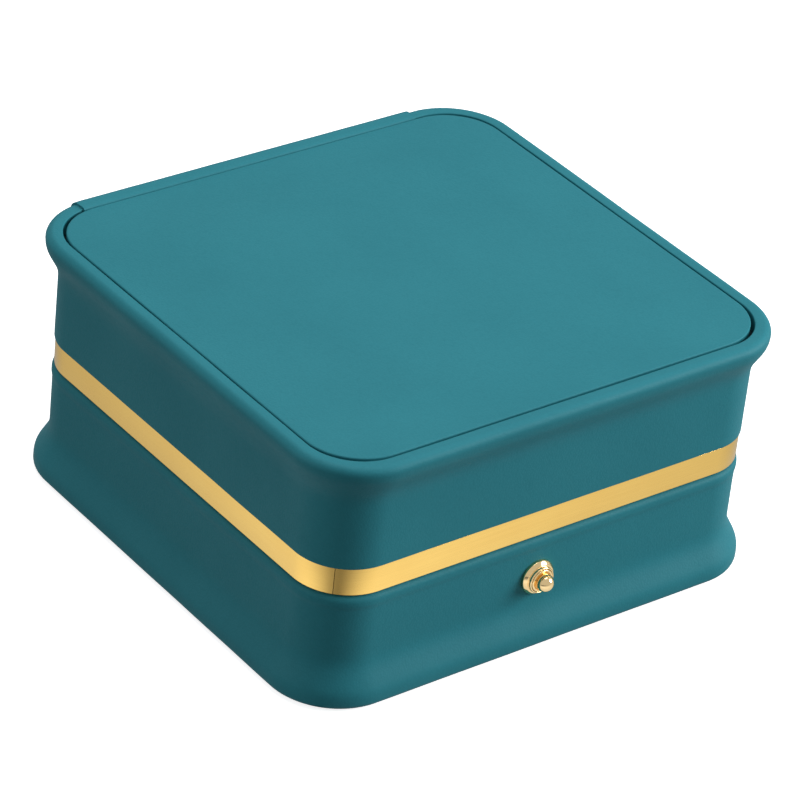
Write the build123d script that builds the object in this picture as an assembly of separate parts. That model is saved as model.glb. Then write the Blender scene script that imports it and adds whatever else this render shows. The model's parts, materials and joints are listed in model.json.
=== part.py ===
from build123d import *
import math
import os

# Leather-covered bracelet box with a hinged lid, a gold band and a push button.
# Millimetres, +Z up, front with the button towards -Y, hinge towards +Y.
# The origin is under the middle of the box, on the surface it stands on.

# Plan of the box at the face of the gold band
body_width = 94.4
body_depth = 91.2
corner_radius = 10.3
fitting_shift = -2.3

# Heights of the two halves
lid_top = 49.15
band_height = 5.15
parting_height = 22.2
parting_gap = 0.4
bottom_lift = 0.3

# Walls and skins
leather_thickness = 0.6
glue_line = 0.05
wall_stand = 0.2
base_wall = 2.4
lid_wall = 2.1
floor_thickness = 2.25
roof_thickness = 2.6
roof_depth = 3.15

# Flared foot and rim
flare_reach = 2.6
flare_rise = 4.6
foot_depth = 3.1
rim_depth = 2.65
rim_width = 3.05
foot_round = 1.3
rim_round = 1.45
rim_edge_round = 0.3
rim_fall = 0.15
base_edge_round = 1.2

# Gold band
band_thickness = 0.9
band_slit = 0.18
slit_depth = 0.5

# Top pad
pad_gap_left = 0.2
pad_gap_right = 0.4
pad_gap_front = 0.35
pad_gap_back = 0.5
pad_corner_radius = 10.4
pad_sink = 0.05
pad_board_thickness = 1.2
pad_edge_round = 0.5

# Bottom panel
panel_thickness = 0.9
panel_inset = 1.6

# Collar that rises into the lid
collar_gap = 0.1
collar_thickness = 1.2
collar_rise = 2.5
liner_thickness = 1.0
liner_clearance = 0.5
lid_pad_thickness = 2.4

# Velvet insert
insert_gap = 0.2
insert_top = 18.0
insert_border = 10.0
insert_corner_radius = 9.0
lining_thickness = 1.2
cushion_width = 43.0
cushion_depth = 40.0
cushion_top = 21.0
cushion_round = 4.0

# Hinge
hinge_length = 60.0
hinge_axis_out = 0.3
knuckle_radius = 1.2
pin_radius = 0.6
pin_clearance = 0.05
knuckle_count = 5
knuckle_gap = 0.15
leaf_height = 10.2
leaf_thickness = 0.7
knuckle_room = 0.25
hinge_screw_radius = 0.8
hinge_screw_head = 1.5
hinge_screw_length = 2.5
hinge_screw_pitch = 22.0
hinge_screw_count = 3

# Leather strip over the hinge and the back rim
strip_width = 73.3
strip_shift = -1.6
strip_thickness = 0.4
strip_end = 1.9
strip_drop = 12.2
strip_tuck = 1.9

# Push button
button_height = 13.85
button_travel = 1.5
bezel_radius = 3.35
bezel_thickness = 1.1
bezel_lip_radius = 2.55
bezel_lip_rise = 0.6
bezel_bevel = 0.15
bezel_side = 0.55
bezel_shoulder = 2.85
sleeve_radius = 2.8
skirt_radius = 2.2
skirt_clearance = 0.06
button_reach = 4.2
step_radius = 1.8
step_dish = 0.25
ball_radius = 1.65
stem_radius = 0.9
stem_flange_radius = 2.6
stem_flange_thickness = 0.5

# Latch
tongue_width = 8.0
tongue_thickness = 0.8
tongue_drop = 4.5
tongue_bar = 1.0
tongue_window = 1.7
tongue_gap = 0.4
tongue_plate = 6.4
tooth_height = 1.1
tooth_width = 4.8
tooth_lift = 0.2
slide_gap = 0.5
slide_thickness = 1.0
housing_wall = 0.6
housing_room = 0.3
housing_below = 3.45
flange_width = 3.1
flange_height = 8.0
latch_screw_radius = 0.7
latch_screw_head = 1.3
latch_screw_length = 2.2
spring_turns = 4
spring_radius = 1.3
spring_wire = 0.2
spring_length = 3.8

# Places that follow from the sizes above
half_x = body_width / 2
half_y = body_depth / 2
band_low = parting_height + parting_gap / 2
band_high = band_low + band_height
base_high = parting_height - parting_gap / 2
shell_gap = leather_thickness + glue_line
base_inner = wall_stand - shell_gap - base_wall
lid_inner = wall_stand - shell_gap - lid_wall
rim_inner = wall_stand + flare_reach - rim_width
collar_out = base_inner - collar_gap
collar_in = collar_out - collar_thickness
collar_high = base_high + collar_rise
core_low = panel_thickness + glue_line
floor_high = core_low + floor_thickness
roof_top = lid_top - roof_depth
roof_low = roof_top - roof_thickness
pad_top = lid_top - pad_sink
rim_inner_top = lid_top - rim_fall
leather_low = band_high + glue_line
liner_low = collar_high + liner_clearance
axis_y = half_y + hinge_axis_out
front_y = -half_y
frame_shift = (button_reach - wall_stand - flare_reach - strip_thickness - glue_line / 2) / 2


def side(point_a, point_b):
    """Unit direction from one profile point to the next."""
    run = point_b[0] - point_a[0]
    rise = point_b[1] - point_a[1]
    length = math.hypot(run, rise)
    return run / length, rise / length


def offset_chain(chain, gap):
    """Shift an open chain of (out, z, radius) points to its left by gap."""
    moved = []
    last = len(chain) - 1
    for index, (out, height, radius) in enumerate(chain):
        if index == 0:
            run, rise = side(chain[0], chain[1])
            moved.append((out - rise * gap, height + run * gap, 0.0))
            continue
        if index == last:
            run, rise = side(chain[-2], chain[-1])
            moved.append((out - rise * gap, height + run * gap, 0.0))
            continue
        run_a, rise_a = side(chain[index - 1], chain[index])
        run_b, rise_b = side(chain[index], chain[index + 1])
        turn = run_a * rise_b - rise_a * run_b
        cosine = run_a * run_b + rise_a * rise_b
        along = (1 - cosine) / turn if abs(turn) > 1e-6 else 0.0
        new_out = out - rise_a * gap - run_a * gap * along
        new_height = height + run_a * gap - rise_a * gap * along
        new_radius = radius - gap if turn > 0 else radius + gap
        moved.append((new_out, new_height, max(new_radius, 0.0) if radius else 0.0))
    return moved


def profile(points):
    """Closed wire in the XZ plane through (out, z, radius) corners."""
    count = len(points)
    edges = []
    ends = []
    for index in range(count):
        before = points[index - 1]
        here = points[index]
        after = points[(index + 1) % count]
        radius = here[2]
        run_a, rise_a = side(before, here)
        run_b, rise_b = side(here, after)
        turn = math.atan2(run_a * rise_b - rise_a * run_b, run_a * run_b + rise_a * rise_b)
        if radius < 1e-4 or abs(turn) < 1e-3:
            ends.append((here[:2], here[:2], None))
            continue
        reach = radius * math.tan(abs(turn) / 2)
        start = (here[0] - run_a * reach, here[1] - rise_a * reach)
        finish = (here[0] + run_b * reach, here[1] + rise_b * reach)
        hand = 1 if turn > 0 else -1
        centre = (start[0] - rise_a * radius * hand, start[1] + run_a * radius * hand)
        away = side(centre, here)
        middle = (centre[0] + away[0] * radius, centre[1] + away[1] * radius)
        ends.append((start, finish, middle))
    for index in range(count):
        start, finish, middle = ends[index]
        if middle is not None:
            edges.append(ThreePointArc(spot(start), spot(middle), spot(finish)))
        following = ends[(index + 1) % count][0]
        if math.hypot(following[0] - finish[0], following[1] - finish[1]) > 1e-5:
            edges.append(Line(spot(finish), spot(following)))
    return Face(Wire(edges))


def spot(pair):
    """Profile point as a point in the XZ plane."""
    return (pair[0], 0, pair[1])


def ring(points, wide=half_x, deep=half_y, radius=corner_radius, core=None):
    """Carry a profile round a rounded rectangle; core=(low, high) fills its middle."""
    section = profile(points)
    pieces = []
    run_x = wide - radius
    run_y = deep - radius
    for turn in range(4):
        along = run_x if turn % 2 == 0 else run_y
        across = deep if turn % 2 == 0 else wide
        placed = Rot(0, 0, 90) * section
        placed = Pos(-along, across, 0) * placed
        straight = extrude(placed, amount=2 * along, dir=(1, 0, 0))
        pieces.append(Rot(0, 0, -90 * turn) * straight)
        corner = Pos(radius, 0, 0) * section
        corner = revolve(corner, axis=Axis.Z, revolution_arc=90)
        across_x = run_x if turn % 2 == 0 else run_y
        across_y = run_y if turn % 2 == 0 else run_x
        corner = Pos(across_x, across_y, 0) * corner
        pieces.append(Rot(0, 0, -90 * turn) * corner)
    if core is not None:
        low, high = core
        middle = Pos(0, 0, (low + high) / 2) * Box(2 * run_x, 2 * run_y, high - low)
        pieces.append(middle)
    solid = pieces[0].fuse(*pieces[1:])
    return solid.clean()


def slab(inset, low, high, top_round=0.0, wide=half_x, deep=half_y, radius=corner_radius):
    """Rounded plate whose edge stands inset inside the given outline."""
    points = [
        (-inset, low, 0.0),
        (-inset, high, top_round),
        (-radius, high, 0.0),
        (-radius, low, 0.0),
    ]
    return ring(points, wide, deep, radius, core=(low, high))


def block(x_low, x_high, y_low, y_high, z_low, z_high):
    """Box between two corners."""
    centre = ((x_low + x_high) / 2, (y_low + y_high) / 2, (z_low + z_high) / 2)
    return Pos(*centre) * Box(x_high - x_low, y_high - y_low, z_high - z_low)


def front_block(x_low, x_high, out_low, out_high, z_low, z_high):
    """Box at the front wall, its depth given as offsets from the band's face."""
    y_high = front_y - out_low
    y_low = front_y - out_high
    middle = fitting_shift
    return block(middle + x_low, middle + x_high, y_low, y_high, z_low, z_high)


def back_block(x_low, x_high, out_low, out_high, z_low, z_high):
    """Box at the back wall, its depth given as offsets from the band's face."""
    y_low = half_y + out_low
    y_high = half_y + out_high
    middle = fitting_shift
    return block(middle + x_low, middle + x_high, y_low, y_high, z_low, z_high)


def front_rod(radius, out_low, out_high, x_at, height):
    """Round rod along Y at the front wall between two offsets."""
    length = out_high - out_low
    y_at = front_y - (out_low + out_high) / 2
    place = Pos(fitting_shift + x_at, y_at, height) * Rot(90, 0, 0)
    return place * Cylinder(radius, length)


def hinge_rod(radius, x_low, x_high):
    """Round rod along the hinge axis."""
    middle = fitting_shift + (x_low + x_high) / 2
    return Pos(middle, axis_y, parting_height) * Rot(0, 90, 0) * Cylinder(radius, x_high - x_low)


def screw(radius, head, length):
    """Countersunk screw along +Y, head face at y=0, with a slot in its head."""
    cone = head - radius
    points = [(0, 0), (head, 0), (radius, cone), (radius, length - radius), (0, length)]
    outline = Face(Wire([Line(points[i], points[(i + 1) % 5]) for i in range(5)]))
    body = revolve(outline, axis=Axis.Y)
    slot = Box(head * 1.7, cone, head * 0.28)
    return body - slot


solids = {}

# Outer chains of the two leather skins, wound so that the inside lies to the left
lid_chain = [
    (wall_stand, leather_low, 0.0),
    (wall_stand, lid_top - rim_depth - flare_rise, 7.0),
    (wall_stand + flare_reach - 0.05, lid_top - rim_depth, 4.0),
    (wall_stand + flare_reach, lid_top, rim_round),
    (rim_inner, rim_inner_top, rim_edge_round),
    (rim_inner, roof_top + glue_line, 0.0),
]
base_chain = [
    (base_inner + glue_line, base_high, 0.0),
    (wall_stand, base_high, base_edge_round),
    (wall_stand, bottom_lift + foot_depth + flare_rise, 6.0),
    (wall_stand + flare_reach - 0.05, bottom_lift + foot_depth, 4.0),
    (wall_stand + flare_reach, bottom_lift, foot_round),
    (-panel_inset + glue_line * 2, bottom_lift, 0.0),
]


def skin(chain, thickness, side_sign):
    """Closed corners of a skin laid along a chain."""
    back = offset_chain(chain, thickness * side_sign)
    return chain + back[::-1]


# Base: board shell, leather skin and bottom panel
base_back = offset_chain(base_chain, -shell_gap)
base_points = [point for point in base_back[1:-1]]
base_points = [(base_inner, base_high - shell_gap, 0.0)] + base_points
base_points = base_points + [
    (-corner_radius, core_low, 0.0),
    (-corner_radius, floor_high, 0.0),
    (base_inner, floor_high, 0.0),
]
base_points[4] = (base_points[4][0], core_low, base_points[4][2])
base_core = ring(base_points, core=(core_low, floor_high))
base_leather = ring(skin(base_chain, leather_thickness, -1))
base_bottom_panel = slab(panel_inset, 0.0, panel_thickness)

# Lid: board shell with a rebate for the band, and its leather skin
lid_back = offset_chain(lid_chain, shell_gap)
rebate = -band_thickness - glue_line
lid_points = [
    (lid_inner, band_low, 0.0),
    (rebate, band_low, 0.0),
    (rebate, leather_low, 0.0),
    (lid_back[0][0], leather_low, 0.0),
]
lid_points = lid_points + lid_back[1:-1]
lid_points = lid_points + [
    (lid_back[-1][0], roof_top, 0.0),
    (-corner_radius, roof_top, 0.0),
    (-corner_radius, roof_low, 0.0),
    (lid_inner, roof_low, 0.0),
]
lid_core = ring(lid_points, core=(roof_low, roof_top))
lid_leather = ring(skin(lid_chain, leather_thickness, 1))

# Gold band round the lid's lower edge, with a fine butt joint at the front left corner
band_points = [
    (-band_thickness, band_low, 0.0),
    (0.0, band_low, 0.25),
    (0.0, band_high, 0.25),
    (-band_thickness, band_high, 0.0),
]
gold_band = ring(band_points)
slit = Box(2 * slit_depth, band_slit, 3 * band_height)
slit = Pos(corner_radius, 0, band_low) * slit
slit = Pos(-half_x + corner_radius, front_y + corner_radius, 0) * Rot(0, 0, 225) * slit
gold_band = gold_band - slit

# Padded top panel inside the rim
pad_wide = half_x + rim_inner - (pad_gap_left + pad_gap_right) / 2
pad_deep = half_y + rim_inner - (pad_gap_front + pad_gap_back) / 2
pad_low = roof_top + glue_line
pad_place = Pos((pad_gap_left - pad_gap_right) / 2, (pad_gap_front - pad_gap_back) / 2, 0)
pad_leather_points = [
    (0.0, pad_low, 0.0),
    (0.0, pad_top, pad_edge_round),
    (-pad_corner_radius, pad_top, 0.0),
    (-pad_corner_radius, pad_top - leather_thickness, 0.0),
    (-leather_thickness, pad_top - leather_thickness, pad_edge_round - leather_thickness),
    (-leather_thickness, pad_low, 0.0),
]
pad_fill = (pad_top - leather_thickness, pad_top)
pad_outline = (pad_wide, pad_deep, pad_corner_radius)
top_pad_leather = pad_place * ring(pad_leather_points, *pad_outline, core=pad_fill)
board_high = pad_low + pad_board_thickness
foam_low = board_high + glue_line
foam_high = pad_top - shell_gap
top_pad_board = pad_place * slab(shell_gap, pad_low, board_high, 0.0, *pad_outline)
top_pad_foam = pad_place * slab(
    shell_gap, foam_low, foam_high, pad_edge_round - leather_thickness, *pad_outline
)

# Collar of the base, liner of the lid and the two velvet floors
collar_points = [
    (collar_in, floor_high + glue_line, 0.0),
    (collar_out, floor_high + glue_line, 0.0),
    (collar_out, collar_high, 0.5),
    (collar_in, collar_high, 0.5),
]
base_collar = ring(collar_points)
liner_out = lid_inner - collar_gap
liner_in = liner_out - liner_thickness
liner_points = [
    (liner_in, liner_low, 0.3),
    (liner_out, liner_low, 0.3),
    (liner_out, roof_low - glue_line, 0.0),
    (liner_in, roof_low - glue_line, 0.0),
]
lid_liner = ring(liner_points)
lid_pad_high = roof_low - glue_line
lid_pad_low = lid_pad_high - lid_pad_thickness
lid_lining_pad = Rot(180, 0, 0) * slab(
    -liner_in + insert_gap, -lid_pad_high, -lid_pad_low, 1.6
)
lining_low = floor_high + glue_line
lining_high = lining_low + lining_thickness
base_floor_lining = slab(-collar_in + insert_gap, lining_low, lining_high)

# Velvet insert: a padded border round a channel, with a cushion in the middle
border_out = collar_in - insert_gap
border_in = border_out - insert_border
border_low = lining_high + glue_line
opening_wide = half_x + border_in
opening_deep = half_y + border_in
border_block = slab(-border_out, border_low, insert_top, 1.5)
opening = Pos(0, 0, (border_low + insert_top) / 2) * Box(
    2 * opening_wide, 2 * opening_deep, 2 * insert_top
)
opening = fillet(opening.edges().filter_by(Axis.Z), insert_corner_radius)
insert_frame = border_block - opening
inner_edges = insert_frame.faces().sort_by(Axis.Z)[-1].inner_wires()[0].edges()
insert_frame = fillet(inner_edges, 1.5)
cushion_mid = (border_low + cushion_top) / 2
cushion_high = cushion_top - border_low
bracelet_cushion = Pos(0, 0, cushion_mid) * Box(cushion_width, cushion_depth, cushion_high)
bracelet_cushion = fillet(bracelet_cushion.edges().filter_by(Axis.Z), 2 * cushion_round)
bracelet_cushion = fillet(
    bracelet_cushion.faces().sort_by(Axis.Z)[-1].outer_wire().edges(), cushion_round
)

# Latch tongue under the lid
tongue_out = lid_inner - tongue_gap - (collar_gap + base_wall - lid_wall)
tongue_in = tongue_out - tongue_thickness
tongue_low = base_high - tongue_drop
half_tongue = tongue_width / 2
plate_low = collar_high + tongue_thickness
plate_high = plate_low + tongue_plate
plate_out = lid_inner - glue_line
plate_in = plate_out - tongue_thickness
latch_tongue = front_block(-half_tongue, half_tongue, tongue_in, tongue_out, tongue_low, plate_low)
knee_high = plate_low + tongue_thickness
latch_tongue += front_block(-half_tongue, half_tongue, tongue_in, plate_out, plate_low, knee_high)
latch_tongue += front_block(-half_tongue, half_tongue, plate_in, plate_out, knee_high, plate_high)
window_low = tongue_low + tongue_bar
window_high = window_low + tongue_window
half_window = tooth_width / 2 + tooth_lift
latch_tongue -= front_block(
    -half_window, half_window, tongue_in - 1, tongue_out + 1, window_low, window_high
)
tongue_screw_z = (knee_high + plate_high) / 2 + 0.3
tongue_screw_x = half_tongue / 2
tongue_holes = []
for sign in (-1, 1):
    at_x = fitting_shift + sign * tongue_screw_x
    turned = Rot(0, 0, 180) * screw(latch_screw_radius, latch_screw_head, latch_screw_length)
    tongue_holes.append(Pos(at_x, front_y - plate_in, tongue_screw_z) * turned)
for index, body in enumerate(tongue_holes):
    hole = front_rod(latch_screw_radius, lid_inner - 3, plate_out + 3,
                     (-1, 1)[index] * tongue_screw_x, tongue_screw_z)
    cone_y = front_y - plate_in
    cone = Cone(latch_screw_head, latch_screw_radius, latch_screw_head - latch_screw_radius)
    cone = Rot(90, 0, 0) * cone
    cone_mid = cone_y - (latch_screw_head - latch_screw_radius) / 2
    cone = Pos(fitting_shift + (-1, 1)[index] * tongue_screw_x, cone_mid, tongue_screw_z) * cone
    latch_tongue = latch_tongue - hole - cone
    bore_low = plate_in - latch_screw_length
    bore = front_rod(latch_screw_radius, plate_out - 0.1, plate_in + latch_screw_length,
                     (-1, 1)[index] * tongue_screw_x, tongue_screw_z)
    lid_core = lid_core - bore
    solids["tongue_screw_" + "ab"[index]] = body

# Room for the tongue in the liner
lid_liner -= front_block(-half_tongue - 0.5, half_tongue + 0.5, tongue_in - 0.6,
                         liner_out + 1, liner_low - 1, plate_high + 0.5)

# Sliding latch plate with a tooth that reaches under the tongue's window
slide_out = tongue_in - slide_gap
slide_in = slide_out - slide_thickness
tooth_low = window_low + tooth_lift
tooth_high = tooth_low + tooth_height
slide_low = button_height - stem_flange_radius - 0.2
latch_slide = front_block(-half_tongue, half_tongue, slide_in, slide_out, slide_low, tooth_high)
latch_slide += front_block(
    -tooth_width / 2, tooth_width / 2, slide_out, tongue_out, tooth_low, tooth_high
)
latch_slide -= front_rod(stem_radius, slide_in - 1, slide_out + 1, 0, button_height)

# Button with its bezel, dome and stem
sleeve_in = base_inner
flange_out = wall_stand + bezel_thickness
lip_out = flange_out + bezel_lip_rise
bore_radius = skirt_radius + skirt_clearance
bezel_points = [
    (sleeve_radius, sleeve_in),
    (sleeve_radius, wall_stand),
    (bezel_radius, wall_stand),
    (bezel_radius, wall_stand + bezel_side),
    (bezel_shoulder, flange_out),
    (bezel_lip_radius, flange_out + bezel_bevel),
    (bezel_lip_radius, lip_out - bezel_bevel),
    (bezel_lip_radius - bezel_bevel, lip_out),
    (bore_radius, lip_out),
    (bore_radius, sleeve_in),
]


def turned_part(points):
    """Turn (radius, out) corners about the button's axis."""
    corners = [Vector(radius, -out, 0) for radius, out in points]
    count = len(corners)
    edges = [Line(corners[i], corners[(i + 1) % count]) for i in range(count)]
    body = revolve(Face(Wire(edges)), axis=Axis.Y)
    return Pos(fitting_shift, front_y, button_height) * body


button_bezel = turned_part(bezel_points)
step_out = lip_out + bezel_bevel
ball_mid = button_reach - ball_radius
cap_back = sleeve_in
cap_points = [
    (0, cap_back),
    (skirt_radius, cap_back),
    (skirt_radius, step_out - bezel_bevel),
    (skirt_radius - bezel_bevel, step_out),
    (step_radius, step_out),
    (step_radius - bezel_bevel, step_out - step_dish),
    (0, step_out - step_dish),
]
button_cap = turned_part(cap_points)
button_cap += Pos(fitting_shift, front_y - ball_mid, button_height) * Sphere(ball_radius)
stem_front = cap_back - glue_line
button_stem = front_rod(stem_flange_radius, stem_front - stem_flange_thickness, stem_front,
                        0, button_height)
button_stem += front_rod(stem_radius, slide_in, stem_front, 0, button_height)

# Bores for the sleeve in the front wall
sleeve_bore = front_rod(sleeve_radius, base_inner - 1, wall_stand + 1, 0, button_height)
base_core -= sleeve_bore
base_leather -= sleeve_bore

# Latch housing on the inside of the front wall, open towards the tongue
half_room = half_tongue + housing_room
room_in = slide_in - spring_length
room_low = button_height - housing_below
room_high = base_high - 1.0
plate_z = (room_low + room_high) / 2
housing_front = base_inner - glue_line
latch_housing = front_block(-half_room - housing_wall, half_room + housing_wall,
                            room_in - housing_wall, housing_front,
                            room_low - housing_wall, room_high + housing_wall)
latch_housing -= front_block(-half_room, half_room, room_in, housing_front + 1,
                             room_low, room_high)
latch_housing -= front_block(-half_room, half_room, tongue_in - 0.4, housing_front + 1,
                             room_high - 1, room_high + housing_wall + 1)
latch_screw_x = half_room + housing_wall + flange_width / 2
for sign in (-1, 1):
    low_x = min(sign * (half_room + housing_wall), sign * (half_room + housing_wall + flange_width))
    high_x = max(sign * (half_room + housing_wall), sign * (half_room + housing_wall + flange_width))
    latch_housing += front_block(low_x, high_x, housing_front - housing_wall, housing_front,
                                 plate_z - flange_height / 2, plate_z + flange_height / 2)
for index, sign in enumerate((-1, 1)):
    at_x = sign * latch_screw_x
    face = housing_front - housing_wall
    hole = front_rod(latch_screw_radius, face - 1, face + latch_screw_length, at_x, plate_z)
    cone = Cone(latch_screw_head, latch_screw_radius, latch_screw_head - latch_screw_radius)
    cone_mid = front_y - face - (latch_screw_head - latch_screw_radius) / 2
    cone = Pos(fitting_shift + at_x, cone_mid, plate_z) * Rot(90, 0, 0) * cone
    latch_housing = latch_housing - hole - cone
    base_core = base_core - hole - cone
    turned = Rot(0, 0, 180) * screw(latch_screw_radius, latch_screw_head, latch_screw_length)
    solids["latch_screw_" + "ab"[index]] = Pos(fitting_shift + at_x, front_y - face, plate_z) * turned

# Cut-outs for the latch in the collar and the insert
cut_x = half_room + housing_wall + flange_width + 0.3
base_collar -= front_block(-cut_x, cut_x, collar_in - 1, collar_out + 1,
                           room_low - housing_wall - 0.3, room_high + housing_wall + 0.3)
base_collar -= front_block(-half_tongue - 0.6, half_tongue + 0.6, collar_in - 1,
                           collar_out + 1, room_high, collar_high + 1)
insert_frame -= front_block(-cut_x, cut_x, room_in - housing_wall - 0.3, border_out + 1,
                            room_low - housing_wall - 0.3, insert_top + 1)

# Return spring between the slide and the housing's back wall
spring_pitch = (spring_length - 2 * spring_wire - 0.1) / spring_turns
spring_path = Helix(spring_pitch, spring_pitch * spring_turns, spring_radius)
spring_start = spring_path @ 0
spring_plane = Plane(origin=spring_start, z_dir=spring_path % 0)
coil = sweep(spring_plane * Circle(spring_wire), path=spring_path)
coil_y = front_y - slide_in + spring_wire + 0.05
return_spring = Pos(fitting_shift, coil_y, button_height) * Rot(-90, 0, 0) * coil

# Hinge leaves with interleaved knuckles on one pin
half_hinge = hinge_length / 2
knuckle_length = hinge_length / knuckle_count
leaf_out = wall_stand
leaf_in = leaf_out - leaf_thickness
hinge_screw_z = leaf_height * 0.62


def leaf(direction, parity):
    """Leaf above or below the axis, with every second knuckle."""
    z_low = min(parting_height, parting_height + direction * leaf_height)
    z_high = max(parting_height, parting_height + direction * leaf_height)
    plate = back_block(-half_hinge, half_hinge, leaf_in, leaf_out, z_low, z_high)
    for number in range(knuckle_count):
        x_low = -half_hinge + number * knuckle_length
        x_high = x_low + knuckle_length
        if number % 2 == parity:
            room = knuckle_gap / 2
            low = x_low if number == 0 else x_low + room
            high = x_high if number == knuckle_count - 1 else x_high - room
            plate += hinge_rod(knuckle_radius, low, high)
        else:
            plate -= hinge_rod(knuckle_radius + knuckle_gap, x_low - knuckle_gap / 2,
                               x_high + knuckle_gap / 2)
    plate -= hinge_rod(pin_radius + pin_clearance, -hinge_length, hinge_length)
    return plate


hinge_leaf_base = leaf(-1, 0)
hinge_leaf_lid = leaf(1, 1)
hinge_pin = hinge_rod(pin_radius, -half_hinge - 0.4, half_hinge + 0.4)
hinge_pin += hinge_rod(pin_radius + 0.35, -half_hinge - 0.8, -half_hinge - 0.1)
hinge_pin += hinge_rod(pin_radius + 0.35, half_hinge + 0.1, half_hinge + 0.8)

# Land that fills the lid's rebate behind the upper leaf
land_reach = half_hinge + 0.3
land = back_block(-land_reach, land_reach, rebate - 0.4, leaf_in - glue_line, band_low, leather_low + 0.2)
lid_core += land
leaf_window_lid = back_block(-land_reach, land_reach, leaf_in - glue_line, 2, band_low - 1,
                             parting_height + leaf_height + 0.3)
leaf_window_base = back_block(-land_reach, land_reach, leaf_in - glue_line, 2,
                              parting_height - leaf_height - 0.3, parting_height + 1)
band_window = back_block(-land_reach, land_reach, -2, 2, band_low - 1, band_high + 1)
gold_band -= band_window
lid_leather -= leaf_window_lid
base_leather -= leaf_window_base
lid_core -= leaf_window_lid
base_core -= leaf_window_base
groove = hinge_rod(knuckle_radius + knuckle_room, -half_hinge - 1.2, half_hinge + 1.2)
lid_core -= groove
base_core -= groove
base_leather -= groove
gold_band -= groove

for name, direction in (("base", -1), ("lid", 1)):
    screw_z = parting_height + direction * hinge_screw_z
    for number in range(hinge_screw_count):
        at_x = (number - (hinge_screw_count - 1) / 2) * hinge_screw_pitch
        turned = Rot(0, 0, 180) * screw(hinge_screw_radius, hinge_screw_head, hinge_screw_length)
        place = Pos(fitting_shift + at_x, half_y + leaf_out, screw_z)
        solids["hinge_screw_" + name + "_" + "abc"[number]] = place * turned
        cone = Cone(hinge_screw_radius, hinge_screw_head, hinge_screw_head - hinge_screw_radius)
        cone_mid = -(hinge_screw_head - hinge_screw_radius) / 2
        cone = Pos(0, cone_mid, 0) * Rot(-90, 0, 0) * cone
        rod = Pos(0, -hinge_screw_length / 2, 0) * Rot(90, 0, 0) * Cylinder(
            hinge_screw_radius, hinge_screw_length)
        hole = place * (rod + cone)
        if name == "base":
            hinge_leaf_base -= hole
            base_core -= hole
        else:
            hinge_leaf_lid -= hole
            lid_core -= hole

# Leather strip over the hinge, up the back and over the rim to the pad's seam
strip_low_x = strip_shift - strip_width / 2
strip_high_x = strip_shift + strip_width / 2
strip_box = block(strip_low_x, strip_high_x, 0, body_depth, -lid_top, 2 * lid_top)
lid_strip_chain = [(wall_stand, parting_height + strip_end, 0.0)] + lid_chain[1:-1]
lid_strip_chain = lid_strip_chain + [(rim_inner, rim_inner_top - strip_tuck, 0.0)]
strip_inner = offset_chain(lid_strip_chain, -glue_line / 2)
hinge_strip_lid = ring(skin(strip_inner, strip_thickness, -1)) & strip_box
strip_floor = parting_height - strip_drop
base_strip_chain = [
    (wall_stand + glue_line / 2, parting_height - strip_end, 0.0),
    (wall_stand + glue_line / 2, strip_floor, 0.0),
]
hinge_strip_base = ring(skin(base_strip_chain, strip_thickness, 1)) & strip_box

solids.update({
    "base_core": base_core,
    "base_leather": base_leather,
    "base_bottom_panel": base_bottom_panel,
    "base_collar": base_collar,
    "base_floor_lining": base_floor_lining,
    "insert_frame": insert_frame,
    "bracelet_cushion": bracelet_cushion,
    "button_bezel": button_bezel,
    "latch_housing": latch_housing,
    "return_spring": return_spring,
    "hinge_leaf_base": hinge_leaf_base,
    "hinge_pin": hinge_pin,
    "hinge_strip_base": hinge_strip_base,
    "lid_core": lid_core,
    "lid_leather": lid_leather,
    "gold_band": gold_band,
    "top_pad_board": top_pad_board,
    "top_pad_foam": top_pad_foam,
    "top_pad_leather": top_pad_leather,
    "lid_liner": lid_liner,
    "lid_lining_pad": lid_lining_pad,
    "latch_tongue": latch_tongue,
    "hinge_leaf_lid": hinge_leaf_lid,
    "hinge_strip_lid": hinge_strip_lid,
    "button_cap": button_cap,
    "button_stem": button_stem,
    "latch_slide": latch_slide,
})

os.makedirs("parts", exist_ok=True)
for name, shape in solids.items():
    placed = Pos(0, frame_shift, 0) * shape
    found = placed.solids()
    piece = found[0] if len(found) == 1 else Compound(children=list(found))
    piece.label = name
    export_step(piece, "parts/" + name + ".step")
    size = piece.bounding_box().size
    print(f"{name:24s} {len(found)} {size.X:7.2f} {size.Y:7.2f} {size.Z:7.2f}")
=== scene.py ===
"""Looks of a leather-covered bracelet box with a padded lid, gold band and push button.

Sizes are in millimetres in the box's own frame and become metres when a mesh is made.
"""

import json
import logging
import math
from abc import ABC, abstractmethod
from collections.abc import Callable, Mapping, Sequence
from dataclasses import dataclass
from enum import Enum
from typing import ClassVar

import bmesh
import bpy
from mathutils import Matrix, Vector, noise

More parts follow.
